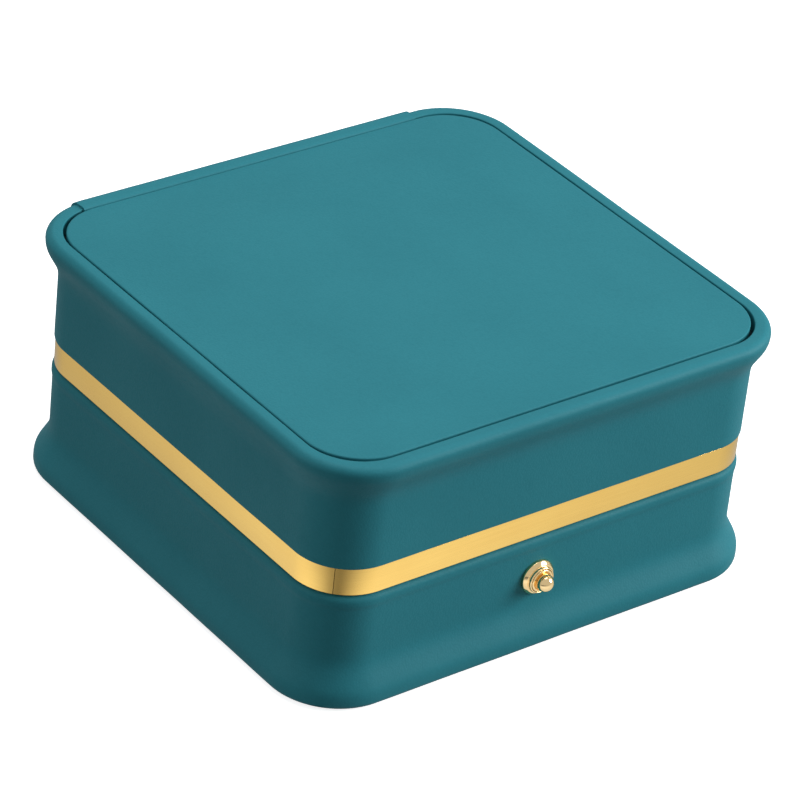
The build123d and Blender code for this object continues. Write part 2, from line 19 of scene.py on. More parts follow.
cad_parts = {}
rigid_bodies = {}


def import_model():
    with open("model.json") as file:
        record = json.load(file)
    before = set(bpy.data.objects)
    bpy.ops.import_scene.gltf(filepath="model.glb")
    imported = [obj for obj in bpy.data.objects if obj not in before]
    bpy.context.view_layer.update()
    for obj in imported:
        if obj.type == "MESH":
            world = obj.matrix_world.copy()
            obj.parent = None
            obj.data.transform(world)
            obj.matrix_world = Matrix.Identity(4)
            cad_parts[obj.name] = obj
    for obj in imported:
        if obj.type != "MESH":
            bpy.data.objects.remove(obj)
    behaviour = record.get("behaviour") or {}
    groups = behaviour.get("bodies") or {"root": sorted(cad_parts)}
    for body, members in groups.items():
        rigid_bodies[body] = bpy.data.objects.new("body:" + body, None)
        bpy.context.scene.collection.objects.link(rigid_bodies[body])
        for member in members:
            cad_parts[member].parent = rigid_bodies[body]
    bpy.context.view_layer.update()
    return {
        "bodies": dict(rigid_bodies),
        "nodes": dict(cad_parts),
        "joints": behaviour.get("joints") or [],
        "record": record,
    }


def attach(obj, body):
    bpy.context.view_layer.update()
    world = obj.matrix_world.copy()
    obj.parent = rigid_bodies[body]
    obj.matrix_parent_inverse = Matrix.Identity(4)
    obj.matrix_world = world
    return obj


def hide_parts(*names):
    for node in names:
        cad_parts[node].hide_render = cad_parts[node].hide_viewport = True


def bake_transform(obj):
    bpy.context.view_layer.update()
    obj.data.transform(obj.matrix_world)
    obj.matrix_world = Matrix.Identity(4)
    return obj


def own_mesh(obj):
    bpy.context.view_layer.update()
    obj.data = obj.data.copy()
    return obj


LOG = logging.getLogger("bracelet_box")
MM = 0.001
NO_TURN = 1e-6
SAME_POINT = 1e-5
SAME_VERTEX = 1e-4
LEAST_ROUND = 0.01
LEAST_RADIUS = 0.05
LEAST_STEP = 0.05
QUARTER = math.pi / 2
TURN_FACES = 72
SHARP = 38.0
SHEEN_ROUGHNESS = 0.4
WHOLE = (0.0, 1.0)
FRAME: dict = {}

Pair = tuple[float, float]
Corner = tuple[float, float, float]
Colour = tuple[float, float, float]
Wave = Callable[[float, float, float], float]
Piece = bpy.types.Object
Socket = bpy.types.NodeSocket
Given = Mapping[str, Socket]
Values = Mapping[str | int, object]


class Body(Enum):
    """The moving groups of the box."""

    BASE = "base"
    LID = "lid"
    BUTTON = "push_button"


class Slot(Enum):
    """The record's finishes, one named with each shaped piece; nothing reads them."""

    LEATHER = "teal_leatherette"
    GOLD = "brushed_gold"
    VELVET = "velvet"


@dataclass(frozen=True)
class BoxSizes:
    """Sizes that more than one sub-assembly shares, in millimetres."""

    half_x: float = 47.2
    half_y: float = 45.6
    corner: float = 10.3
    shift_y: float = 0.4875
    fitting_x: float = -2.3
    parting: float = 22.2
    gap: float = 0.4
    seam: float = 0.05
    band_height: float = 5.15
    band_thickness: float = 0.9
    wall: float = 0.2
    skin: float = 0.6
    flare: float = 2.6
    flare_rise: float = 4.6
    flare_lean: float = 0.05
    flare_round: float = 4.0
    lid_top: float = 49.15
    neck_round: float = 7.0
    rim_depth: float = 2.65
    rim_width: float = 3.05
    rim_fall: float = 0.15
    rim_round: float = 1.45
    rim_edge: float = 0.22
    roof: float = 46.0
    foot_lift: float = 0.3
    foot_depth: float = 3.1
    hinge_out: float = 0.3
    window_half: float = 30.3
    window_deep: float = 0.55
    window_proud: float = 2.0
    button_height: float = 13.85

    @property
    def front(self) -> float:
        """Y of the band's face at the front."""
        return -self.half_y + self.shift_y

    @property
    def back(self) -> float:
        """Y of the band's face at the back."""
        return self.half_y + self.shift_y

    @property
    def band_low(self) -> float:
        """Lower edge of the gold band."""
        return self.parting + self.gap / 2

    @property
    def band_high(self) -> float:
        """Upper edge of the gold band."""
        return self.band_low + self.band_height

    @property
    def base_high(self) -> float:
        """Rolled top edge of the base."""
        return self.parting - self.gap / 2

    @property
    def rim_inner(self) -> float:
        """Offset of the rim's inner edge from the band's face."""
        return self.wall + self.flare - self.rim_width


SIZES = BoxSizes()


# Shapes


def unit(first: Sequence[float], second: Sequence[float]) -> Pair:
    """Give the direction between two section points.

    Args:
        first: The point that the direction leaves.
        second: The point that it heads for.

    Returns:
        The unit direction.
    """
    run, rise = second[0] - first[0], second[1] - first[1]
    length = math.hypot(run, rise) or 1.0
    return run / length, rise / length


def neighbours(items: Sequence, closed: bool) -> list[tuple]:
    """Pair each item with the next one, and the last with the first where they close."""
    return list(zip(items, [*items[1:], items[0]] if closed else items[1:]))


def parallel(chain: Sequence[Corner], gap: float) -> list[Corner]:
    """Shift an open chain of section corners to its left.

    Args:
        chain: Corners as (out, z, radius).
        gap: How far the chain moves.

    Returns:
        The moved chain, its radii grown or shrunk to match.
    """
    headings = [unit(*pair) for pair in neighbours(chain, False)]
    moved: list[Corner] = []
    for index, (out, height, radius) in enumerate(chain):
        behind, ahead = headings[max(index - 1, 0)], headings[min(index, len(headings) - 1)]
        turn = behind[0] * ahead[1] - behind[1] * ahead[0]
        cosine = behind[0] * ahead[0] + behind[1] * ahead[1]
        along = (1 - cosine) / turn if abs(turn) > NO_TURN else 0.0
        new_radius = max(radius + (-gap if turn > 0 else gap), LEAST_RADIUS) if radius else 0.0
        new_out = out - behind[1] * gap - behind[0] * gap * along
        moved.append((new_out, height + behind[0] * gap - behind[1] * gap * along, new_radius))
    return moved


def rounded(
    corners: Sequence[Corner], closed: bool = True, steps: int = 10, reach: float = 1.2
) -> list[Pair]:
    """Sample a section whose corners are rounded.

    Args:
        corners: Corners as (out, z, radius).
        closed: Whether the last corner joins the first.
        steps: Samples in a quarter turn.
        reach: Longest straight step between samples.

    Returns:
        Points of the section as (out, z).
    """
    count = len(corners)
    raw: list[Pair] = []
    for index, (out, height, radius) in enumerate(corners):
        behind = unit(corners[index - 1], corners[index])
        ahead = unit(corners[index], corners[(index + 1) % count])
        cosine = behind[0] * ahead[0] + behind[1] * ahead[1]
        turn = math.atan2(behind[0] * ahead[1] - behind[1] * ahead[0], cosine)
        inner = closed or 0 < index < count - 1
        if not inner or radius <= LEAST_ROUND or abs(turn) < LEAST_ROUND:
            raw.append((out, height))
            continue
        hand = math.copysign(1.0, turn)
        back = radius * math.tan(abs(turn) / 2)
        start = (out - behind[0] * back, height - behind[1] * back)
        middle = (start[0] - behind[1] * radius * hand, start[1] + behind[0] * radius * hand)
        first = math.atan2(start[1] - middle[1], start[0] - middle[0])
        pieces = max(2, round(steps * abs(turn) / QUARTER))
        for piece in range(pieces + 1):
            angle = first + turn * piece / pieces
            raw.append((middle[0] + radius * math.cos(angle), middle[1] + radius * math.sin(angle)))
    points: list[Pair] = []
    for here, after in neighbours(raw, closed):
        length = math.dist(here, after)
        if length < SAME_POINT:
            continue
        parts = max(1, math.ceil(length / reach))
        for part in range(parts):
            share = part / parts
            points.append(tuple(a + (b - a) * share for a, b in zip(here, after)))
    if not closed:
        points.append(raw[-1])
    return points


@dataclass(frozen=True)
class Station:
    """A place on an outline, with the direction that points out of it."""

    x: float
    y: float
    out_x: float
    out_y: float

    def at(self, out: float) -> Pair:
        """Move the place outwards."""
        return self.x + self.out_x * out, self.y + self.out_y * out


@dataclass(frozen=True)
class Outline:
    """A rounded rectangle seen from above, walked anticlockwise from its front left."""

    half_x: float = SIZES.half_x
    half_y: float = SIZES.half_y
    radius: float = SIZES.corner
    middle_y: float = SIZES.shift_y
    middle_x: float = 0.0

    @property
    def arc(self) -> float:
        """Length of one corner."""
        return math.pi * self.radius / 2

    def length(self) -> float:
        """Distance round the outline."""
        return 4 * (self.half_x + self.half_y - 2 * self.radius) + 2 * math.pi * self.radius

    def station(self, along: float) -> Station:
        """Find the place at a distance along the outline.

        Args:
            along: Distance from the left end of the front side.

        Returns:
            The place and its outward direction.
        """
        along %= self.length()
        runs = (self.half_x - self.radius, self.half_y - self.radius)
        for turn in range(4):
            across, side_run = runs[turn % 2], runs[1 - turn % 2]
            if along <= 2 * across:
                local = (-across + along, -(self.half_x if turn % 2 else self.half_y), 0.0, -1.0)
                break
            along -= 2 * across
            if along <= self.arc:
                angle = along / self.radius
                out = (math.sin(angle), -math.cos(angle))
                local = (across + self.radius * out[0], -side_run + self.radius * out[1], *out)
                break
            along -= self.arc
        cos, sin = ((1, 0), (0, 1), (-1, 0), (0, -1))[turn]
        x, y = local[0] * cos - local[1] * sin, local[0] * sin + local[1] * cos
        out_x, out_y = local[2] * cos - local[3] * sin, local[2] * sin + local[3] * cos
        return Station(x + self.middle_x, y + self.middle_y, out_x, out_y)

    def walk(
        self,
        start: float = 0.0,
        finish: float | None = None,
        step: float = 1.6,
        turn_steps: int = 22,
        side_parts: int | None = None,
    ) -> list[Station]:
        """Sample the outline, more closely in its corners.

        Args:
            start: Distance where the walk starts.
            finish: Distance where it ends, or nothing for a closed loop.
            step: Distance between places on the sides.
            turn_steps: Places in each corner.
            side_parts: Places on each side, or nothing to follow the step.

        Returns:
            The places in order.
        """
        marks = [0.0]
        for turn in range(4):
            side = 2 * (self.half_x - self.radius if turn % 2 == 0 else self.half_y - self.radius)
            parts = side_parts or max(2, round(side / step))
            for run, count in ((side, parts), (self.arc, turn_steps)):
                first = marks[-1]
                marks += [first + run * part / count for part in range(1, count + 1)]
        loop = marks[:-1]
        if finish is None:
            return [self.station(mark) for mark in loop]
        many = [mark + self.length() * lap for lap in (-1, 0, 1) for mark in loop]
        kept = [mark for mark in many if start + LEAST_STEP < mark < finish - LEAST_STEP]
        return [self.station(mark) for mark in [start, *kept, finish]]

    def grown(self, out: float) -> "Outline":
        """Give the outline that lies a distance outside this one."""
        half_x, half_y = self.half_x + out, self.half_y + out
        return Outline(half_x, half_y, self.radius + out, self.middle_y, self.middle_x)


def ripple(size: float, height: float, seed: float) -> Wave:
    """Make a soft unevenness in space.

    Args:
        size: Distance between its waves, in millimetres.
        height: Its largest height, in millimetres.
        seed: Where in the pattern it starts.

    Returns:
        A function of a place that gives the height there.
    """

    def wave(x: float, y: float, z: float) -> float:
        """Height of the unevenness at a place."""
        return height * noise.noise(Vector((x / size + seed, y / size - seed, z / size + 2 * seed)))

    return wave


def linked(name: str, data: bpy.types.ID) -> Piece:
    """Make an object from its data and put it in the scene.

    Args:
        name: Name of the object.
        data: Its mesh, lamp or camera.

    Returns:
        The object, at the origin.
    """
    made = bpy.data.objects.new(name, data)
    bpy.context.scene.collection.objects.link(made)
    return made


def evaluated(piece: Piece) -> bpy.types.Mesh:
    """Give a new mesh with a piece's modifiers worked out."""
    graph = bpy.context.evaluated_depsgraph_get()
    return bpy.data.meshes.new_from_object(piece.evaluated_get(graph))


def smoothed(name: str, data: bpy.types.Mesh, sharp: float = SHARP) -> Piece:
    """Make a smooth-shaded object of a mesh.

    Args:
        name: Name of the piece.
        data: Its mesh, in metres.
        sharp: Angle in degrees above which an edge stays sharp.

    Returns:
        The piece, at the origin.
    """
    data.polygons.foreach_set("use_smooth", [True] * len(data.polygons))
    data.set_sharp_from_angle(angle=math.radians(sharp))
    return linked(name, data)


def finish_mesh(name: str, mesh: bmesh.types.BMesh, sharp: float = SHARP) -> Piece:
    """Turn a bmesh in millimetres into a smooth-shaded object in metres.

    Args:
        name: Name of the piece.
        mesh: Its faces, in millimetres.
        sharp: Angle in degrees above which an edge stays sharp.

    Returns:
        The object, at the origin.
    """
    bmesh.ops.remove_doubles(mesh, verts=mesh.verts, dist=SAME_VERTEX)
    bmesh.ops.recalc_face_normals(mesh, faces=mesh.faces)
    bmesh.ops.scale(mesh, vec=(MM, MM, MM), verts=mesh.verts)
    data = bpy.data.meshes.new(name)
    mesh.to_mesh(data)
    mesh.free()
    return smoothed(name, data, sharp)


def lace(
    mesh: bmesh.types.BMesh, rows: Sequence, around: bool, ring: bool = True, flip: bool = False
) -> None:
    """Fill the spaces between rows of vertices with four-sided faces.

    Args:
        mesh: The mesh that holds the vertices.
        rows: Rows with as many vertices each.
        around: Whether the last row joins the first.
        ring: Whether each row's last vertex joins its first.
        flip: Whether the faces turn the other way.
    """
    for first, second in neighbours(rows, around):
        for (a, b), (c, d) in zip(neighbours(first, ring), neighbours(second, ring)):
            mesh.faces.new((a, b, d, c) if flip else (a, c, d, b))


def swept(
    name: str, stations: Sequence[Station], section: Sequence[Pair], wave: Wave, loop: bool = True
) -> Piece:
    """Carry a closed section along an outline.

    Args:
        name: Name of the piece.
        stations: Places along the outline.
        section: The closed section as (out, z).
        wave: Unevenness added outwards.
        loop: Whether the last place joins the first.

    Returns:
        The piece.
    """
    mesh = bmesh.new()
    rows = []
    for station in stations:
        row = []
        for out, height in section:
            x, y = station.at(out)
            row.append(mesh.verts.new((*station.at(out + wave(x, y, height)), height)))
        rows.append(row)
    lace(mesh, rows, around=loop)
    if not loop:
        mesh.faces.new(rows[0])
        mesh.faces.new(list(reversed(rows[-1])))
    return finish_mesh(name, mesh)


@dataclass(frozen=True)
class Pad:
    """A closed pad: a flat back, a section round its edge and a crowned face.

    The crown is the height of the face's middle over its edge, negative for a face that looks down,
    and the sag is how far the middle of each side draws in between the corners.
    """

    outline: Outline
    section: Sequence[Pair]
    crown: float
    rings: int
    wave: Wave
    sag: float = 0.0
    squareness: float = 2.6
    crown_start: float = 4.0
    wave_start: float = 6.0

    def drawn(self, station: Station, out: float) -> Pair:
        """Give a place with the side drawn in between the corners.

        Args:
            station: The place on the outline.
            out: How far out of it the section's point lies.

        Returns:
            The place as (x, y).
        """
        outline = self.outline
        if abs(station.out_y) > 0.5:
            lengthwise = abs(station.x / outline.half_x)
        else:
            lengthwise = abs((station.y - outline.middle_y) / outline.half_y)
        return station.at(out - self.sag * (1 - min(lengthwise, 1.0) ** 2))

    def lifted(self, edge: Pair, height: float, share: float) -> Corner:
        """Find a point of the face.

        Args:
            edge: The edge's point that the ring's point belongs to.
            height: Height of the edge.
            share: 1 at the edge and 0 in the middle.

        Returns:
            The point.
        """
        outline = self.outline
        x, y = edge[0] * share, outline.middle_y + (edge[1] - outline.middle_y) * share
        u, v = abs(x / outline.half_x), abs((y - outline.middle_y) / outline.half_y)
        dome = self.crown * (1 - u**self.squareness) * (1 - v**self.squareness)
        dome *= min(1.0, (1 - share) * self.crown_start)
        return x, y, height + dome + self.wave(x, y, 0.0) * min(1.0, (1 - share) * self.wave_start)

    def build(self, name: str) -> Piece:
        """Make the pad.

        Args:
            name: Name of the piece.

        Returns:
            The piece.
        """
        mesh = bmesh.new()
        stations = self.outline.walk(step=1.8, turn_steps=14)
        rows = []
        for out, height in self.section:
            rows.append([mesh.verts.new((*self.drawn(place, out), height)) for place in stations])
        edge_out, edge_height = self.section[-1]
        edge = [self.drawn(place, edge_out) for place in stations]
        for ring in range(1, self.rings):
            share = 1 - ring / self.rings
            rows.append([mesh.verts.new(self.lifted(place, edge_height, share)) for place in edge])
        lace(mesh, rows, around=False, flip=True)
        top = mesh.verts.new((0.0, self.outline.middle_y, edge_height + self.crown))
        back = mesh.verts.new((0.0, self.outline.middle_y, self.section[0][1]))
        for face, rear in zip(neighbours(rows[-1], True), neighbours(rows[0], True)):
            mesh.faces.new((*face, top))
            mesh.faces.new((*reversed(rear), back))
        return finish_mesh(name, mesh)


def turned(name: str, points: Sequence[Corner]) -> Piece:
    """Turn a section about the push button's axis, which lies along Y.

    Args:
        name: Name of the piece.
        points: Corners as (radius, out, round); the first and last may lie on the axis.

    Returns:
        The piece.
    """
    centre = Vector((SIZES.fitting_x, SIZES.front, SIZES.button_height))
    closed = points[0][0] > NO_TURN
    section = rounded(points, closed=closed, steps=8, reach=0.5)
    mesh = bmesh.new()
    rows = []
    for step in range(TURN_FACES):
        angle = 2 * math.pi * step / TURN_FACES
        cos, sin = math.cos(angle), math.sin(angle)
        row = []
        for far, out in section:
            place = (centre.x + far * cos, centre.y - out, centre.z + far * sin)
            row.append(mesh.verts.new(place))
        rows.append(row)
    lace(mesh, rows, around=True, ring=closed)
    bmesh.ops.remove_doubles(mesh, verts=mesh.verts, dist=SAME_VERTEX)
    bmesh.ops.dissolve_degenerate(mesh, edges=mesh.edges, dist=SAME_POINT)
    return finish_mesh(name, mesh, sharp=50.0)


def cut_wall(piece: Piece, half: float, depths: Pair, heights: Pair) -> None:
    """Cut a box out of a piece, level with the middle of the button and the hinge.

    Args:
        piece: The piece that is cut.
        half: Half the box's width.
        depths: Where the box starts and ends along Y.
        heights: Where it starts and ends along Z.
    """
    ends = ((SIZES.fitting_x - half, SIZES.fitting_x + half), depths, heights)
    mesh = bmesh.new()
    bmesh.ops.create_cube(mesh, size=1.0)
    for vertex in mesh.verts:
        for axis, (low, high) in enumerate(ends):
            vertex.co[axis] = (low + (high - low) * (vertex.co[axis] + 0.5)) * MM
    data = bpy.data.meshes.new("cutter")
    mesh.to_mesh(data)
    mesh.free()
    apply_cut(piece, linked("cutter", data))


def apply_cut(piece: Piece, cutter: Piece) -> None:
    """Subtract one object from another and delete the cutter.

    Args:
        piece: The piece that is cut.
        cutter: The object that is taken away.
    """
    cut = piece.modifiers.new("cut", "BOOLEAN")
    cut.operation = "DIFFERENCE"
    cut.solver = "EXACT"
    cut.object = cutter
    result = evaluated(piece)
    piece.modifiers.clear()
    piece.data = result
    bpy.data.objects.remove(cutter)


# Rules for what follows a path


class PathStrip:
    """A strip with rounded edges that follows a path, made by a node tree."""

    NAME = "strip_along_path"
    INPUTS = {
        "Path": "Geometry",
        "Thickness": "Float",
        "Height": "Float",
        "Edge Round": "Float",
        "Round Steps": "Int",
        "Finish": "Material",
    }

    @classmethod
    def tree(cls) -> bpy.types.GeometryNodeTree:
        """Build the tree once.

        Returns:
            The tree, with named inputs for the strip's sizes and finish.
        """
        if cls.NAME in bpy.data.node_groups:
            return bpy.data.node_groups[cls.NAME]
        tree = bpy.data.node_groups.new(cls.NAME, "GeometryNodeTree")
        for label, kind in cls.INPUTS.items():
            tree.interface.new_socket(label, in_out="INPUT", socket_type=f"NodeSocket{kind}")
        tree.interface.new_socket("Strip", in_out="OUTPUT", socket_type="NodeSocketGeometry")
        desk = NodeDesk(tree)
        given = desk.add("NodeGroupInput").outputs
        path = desk.first("GeometryNodeMeshToCurve", {"Mesh": given["Path"]})
        upright = desk.first("GeometryNodeSetCurveNormal", {"Curve": path}, mode="Z_UP")
        sides = {"Width": given["Thickness"], "Height": given["Height"]}
        section = desk.first("GeometryNodeCurvePrimitiveQuadrilateral", sides)
        rounding = {"Curve": section, "Radius": given["Edge Round"], "Count": given["Round Steps"]}
        fillet = desk.first("GeometryNodeFilletCurve", rounding, mode="POLY")
        curves = {"Curve": upright, "Profile Curve": fillet, "Fill Caps": True}
        body = desk.first("GeometryNodeCurveToMesh", curves)
        real = desk.first("GeometryNodeRealizeInstances", {"Geometry": body})
        dressed = {"Geometry": real, "Material": given["Finish"]}
        made = desk.first("GeometryNodeSetMaterial", dressed)
        desk.add("NodeGroupOutput", {"Strip": made})
        return tree

    @classmethod
    def make(
        cls,
        name: str,
        stations: Sequence[Station],
        heights: Pair,
        thickness: float,
        edge: float,
        finish: "Finish",
        loop: bool = True,
    ) -> Piece:
        """Run the tree along a level path.

        Args:
            name: Name of the piece.
            stations: Places along the path, at the strip's middle.
            heights: Heights of the strip's lower and upper edge.
            thickness: Its thickness.
            edge: Radius of its edges.
            finish: Its finish.
            loop: Whether the path is closed.

        Returns:
            The piece as a plain mesh.
        """
        low, high = heights
        places = [(station.x * MM, station.y * MM, (low + high) / 2 * MM) for station in stations]
        data = bpy.data.meshes.new(name + "_path")
        data.from_pydata(places, neighbours(range(len(places)), loop), [])
        path = linked(name + "_path", data)
        run = path.modifiers.new("strip", "NODES")
        run.node_group = cls.tree()
        values = {
            "Thickness": thickness * MM,
            "Height": (high - low) * MM,
            "Edge Round": edge * MM,
            "Round Steps": 5,
            "Finish": finish.material(),
        }
        for item in run.node_group.interface.items_tree:
            if item.in_out == "INPUT" and item.name in values:
                run[item.identifier] = values[item.name]
        result = evaluated(path)
        bpy.data.objects.remove(path)
        result.name = name
        mesh = bmesh.new()
        mesh.from_mesh(result)
        bmesh.ops.recalc_face_normals(mesh, faces=mesh.faces)
        mesh.to_mesh(result)
        mesh.free()
        return smoothed(name, result)


# Finishes


class NodeDesk:
    """Places and wires the nodes of one tree."""

    def __init__(self, tree: bpy.types.NodeTree) -> None:
        """Keep the tree that is being wired."""
        self.tree = tree

    @classmethod
    def cleared(cls, owner: bpy.types.Material | bpy.types.World) -> "NodeDesk":
        """Empty a new material's or world's tree.

        Args:
            owner: The material or world.

        Returns:
            The desk of its empty tree.
        """
        owner.use_nodes = True
        owner.node_tree.nodes.clear()
        return cls(owner.node_tree)

    def fill(self, node: bpy.types.Node, values: Values) -> None:
        """Set or link a node's inputs.

        Args:
            node: The node.
            values: Plain values, or sockets that are linked, by the input's name or number.
        """
        for key, value in values.items():
            if isinstance(value, Socket):
                self.tree.links.new(value, node.inputs[key])
            else:
                node.inputs[key].default_value = value

    def add(self, kind: str, values: Values | None = None, **settings: object) -> bpy.types.Node:
        """Add a node.

        Args:
            kind: The node's type.
            values: Inputs to set or link.
            settings: The node's own properties.

        Returns:
            The node.
        """
        node = self.tree.nodes.new(kind)
        for key, value in settings.items():
            setattr(node, key, value)
        self.fill(node, values or {})
        return node

    def first(self, kind: str, values: Values, **settings: object) -> Socket:
        """Add a node and give its first output."""
        return self.add(kind, values, **settings).outputs[0]

    def math(self, operation: str, first: object, second: object = 0.0) -> Socket:
        """Combine two values and give the result's socket."""
        return self.first("ShaderNodeMath", {0: first, 1: second}, operation=operation)

    def vector(self, operation: str, *terms: object, result: str = "Vector") -> Socket:
        """Work out one or two vectors and give the result's socket."""
        values = dict(enumerate(terms))
        return self.add("ShaderNodeVectorMath", values, operation=operation).outputs[result]

    def blend(self, share: object, first: object, second: object) -> Socket:
        """Mix two colours and give the result's socket."""
        values = {0: share, 6: first, 7: second}
        return self.add("ShaderNodeMix", values, data_type="RGBA").outputs[2]

    def spread(self, value: Socket, source: Pair, goal: Pair) -> Socket:
        """Map a value from one range to another, clamped."""
        ends = zip(("From Min", "From Max", "To Min", "To Max"), (*source, *goal))
        return self.first("ShaderNodeMapRange", {"Value": value, **dict(ends)}, clamp=True)


@dataclass(frozen=True)
class Effect(ABC):
    """A shader node group that more than one finish uses; it puts out a height and a shade."""

    name: str
    inputs: tuple[tuple[str, float], ...]

    @abstractmethod
    def wire(self, desk: NodeDesk, given: Given, place: Socket) -> tuple[Socket, Socket]:
        """Wire the effect.

        Args:
            desk: The group's desk.
            given: The group's inputs.
            place: The surface's place.

        Returns:
            The height and the shade.
        """

    def group(self) -> bpy.types.ShaderNodeTree:
        """Build the group once.

        Returns:
            The group, whose height and shade lie between about 0 and 1.
        """
        if self.name in bpy.data.node_groups:
            return bpy.data.node_groups[self.name]
        tree = bpy.data.node_groups.new(self.name, "ShaderNodeTree")
        socket = tree.interface.new_socket
        for label, start in self.inputs:
            socket(label, in_out="INPUT", socket_type="NodeSocketFloat").default_value = start
        for label in ("Height", "Shade"):
            socket(label, in_out="OUTPUT", socket_type="NodeSocketFloat")
        desk = NodeDesk(tree)
        given = desk.add("NodeGroupInput").outputs
        place = desk.add("ShaderNodeTexCoord").outputs["Object"]
        height, shade = self.wire(desk, given, place)
        desk.add("NodeGroupOutput", {"Height": height, "Shade": shade})
        return tree


@dataclass(frozen=True)
class FineGrain(Effect):
    """Small rounded pebbles over slow unevenness."""

    name: str = "fine_grain"
    inputs: tuple[tuple[str, float], ...] = (
        ("Pebbles", 1800.0),
        ("Clouds", 60.0),
        ("Softness", 0.5),
    )
    fold_scale: float = 0.27
    fold_height: float = 0.9
    height_share: float = 0.3

    def wire(self, desk: NodeDesk, given: Given, place: Socket) -> tuple[Socket, Socket]:
        """Wire the pebbles, folds and clouds.

        Args:
            desk: The group's desk.
            given: The group's inputs.
            place: The surface's place.

        Returns:
            The height and the shade.
        """
        cells = {"Vector": place, "Scale": given["Pebbles"], "Smoothness": given["Softness"]}
        pebbles = desk.add("ShaderNodeTexVoronoi", cells, feature="SMOOTH_F1")
        coarse = desk.math("MULTIPLY", given["Pebbles"], self.fold_scale)
        noisy = {"Vector": place, "Detail": 3.0}
        folds = desk.add("ShaderNodeTexNoise", {**noisy, "Scale": coarse, "Roughness": 0.6})
        clouds = desk.add("ShaderNodeTexNoise", {**noisy, "Scale": given["Clouds"]})
        pebble_height = desk.math("SUBTRACT", 1.0, pebbles.outputs["Distance"])
        fold_height = desk.math("MULTIPLY", folds.outputs["Fac"], self.fold_height)
        height = desk.math("ADD", pebble_height, fold_height)
        slow = desk.math("MULTIPLY", clouds.outputs["Fac"], 1 - self.height_share)
        return height, desk.math("ADD", desk.math("MULTIPLY", height, self.height_share), slow)


@dataclass(frozen=True)
class DrawnLines(Effect):
    """Fine lines drawn along the metal's length."""

    name: str = "drawn_lines"
    inputs: tuple[tuple[str, float], ...] = (("Across", 9000.0), ("Along", 60.0))
    smudge_scale: float = 90.0
    line_share: float = 0.6

    def wire(self, desk: NodeDesk, given: Given, place: Socket) -> tuple[Socket, Socket]:
        """Wire the lines and smudges.

        Args:
            desk: The group's desk.
            given: The group's inputs.
            place: The surface's place.

        Returns:
            The height and the shade.
        """
        axes = {"X": given["Along"], "Y": given["Along"], "Z": given["Across"]}
        stretched = desk.vector("MULTIPLY", place, desk.first("ShaderNodeCombineXYZ", axes))
        lines, smudges = (
            desk.first("ShaderNodeTexNoise", {"Vector": where, "Scale": scale, "Detail": 2.0})
            for where, scale in ((stretched, 1.0), (place, self.smudge_scale))
        )
        slow = desk.math("MULTIPLY", smudges, 1 - self.line_share)
        return lines, desk.math("ADD", desk.math("MULTIPLY", lines, self.line_share), slow)


def linear(colour: Colour) -> tuple[float, float, float, float]:
    """Turn a colour as a screen shows it, 0 to 255, into a shader's colour."""
    shares = (part / 255 for part in colour)
    return (*(s / 12.92 if s <= 0.04045 else ((s + 0.055) / 1.055) ** 2.4 for s in shares), 1.0)


@dataclass(frozen=True)
class Finish(ABC):
    """A surface whose colour and roughness swing with the shade of an effect."""

    EFFECT: ClassVar[Effect]
    SHADES: ClassVar[Pair]
    ROUGH_SHADES: ClassVar[Pair]
    ROUGH_SWING: ClassVar[float]

    name: str
    light: Colour
    dark: Colour
    roughness: float
    depth: float

    @abstractmethod
    def effect_values(self) -> Values:
        """Values of the effect's inputs."""

    @abstractmethod
    def shader_values(self) -> Values:
        """Values of the shader's own inputs."""

    def material(self) -> bpy.types.Material:
        """Build the material.

        Returns:
            The material, the same one each time.
        """
        if self.name in bpy.data.materials:
            return bpy.data.materials[self.name]
        finish = bpy.data.materials.new(self.name)
        desk = NodeDesk.cleared(finish)
        effect = desk.add("ShaderNodeGroup", self.effect_values(), node_tree=self.EFFECT.group())
        shade, height = effect.outputs["Shade"], effect.outputs["Height"]
        mask = desk.spread(shade, self.SHADES, WHOLE)
        colour = desk.blend(mask, linear(self.dark), linear(self.light))
        rough_ends = (self.roughness + self.ROUGH_SWING, self.roughness - self.ROUGH_SWING)
        rough = desk.spread(shade, self.ROUGH_SHADES, rough_ends)
        grooves = {"Strength": 1.0, "Distance": self.depth * MM, "Height": height}
        bump = desk.add("ShaderNodeBump", grooves).outputs["Normal"]
        values = {"Base Color": colour, "Roughness": rough, "Normal": bump}
        shader = desk.add("ShaderNodeBsdfPrincipled", {**values, **self.shader_values()})
        desk.add("ShaderNodeOutputMaterial", {"Surface": shader.outputs["BSDF"]})
        return finish


@dataclass(frozen=True)
class Grained(Finish):
    """Leather, velvet, felt or board: a grained surface with slow changes of colour."""

    EFFECT = FineGrain()
    SHADES = (0.45, 0.95)
    ROUGH_SHADES = (0.4, 1.0)
    ROUGH_SWING = 0.06

    pebbles: float
    clouds: float
    specular: float
    sheen: float = 0.0
    softness: float = 0.5

    def effect_values(self) -> Values:
        """Values of the grain's inputs."""
        return {"Pebbles": self.pebbles, "Clouds": self.clouds, "Softness": self.softness}

    def shader_values(self) -> Values:
        """Values of the shader's own inputs.

        Returns:
            The values by the input's name.
        """
        values: dict[str | int, object] = {"Specular IOR Level": self.specular}
        if self.sheen:
            values["Sheen Weight"] = self.sheen
            values["Sheen Roughness"] = SHEEN_ROUGHNESS
            values["Sheen Tint"] = linear(self.light)
        return values


@dataclass(frozen=True)
class DrawnMetal(Finish):
    """Metal with fine lines along its length."""

    EFFECT = DrawnLines()
    SHADES = (0.3, 0.7)
    ROUGH_SHADES = (0.3, 0.7)
    ROUGH_SWING = 0.05

    across: float = 9000.0
    along: float = 60.0

    def effect_values(self) -> Values:
        """Values of the lines' inputs."""
        return {"Across": self.across, "Along": self.along}

    def shader_values(self) -> Values:
        """Values of the shader's own inputs."""
        return {"Metallic": 1.0}


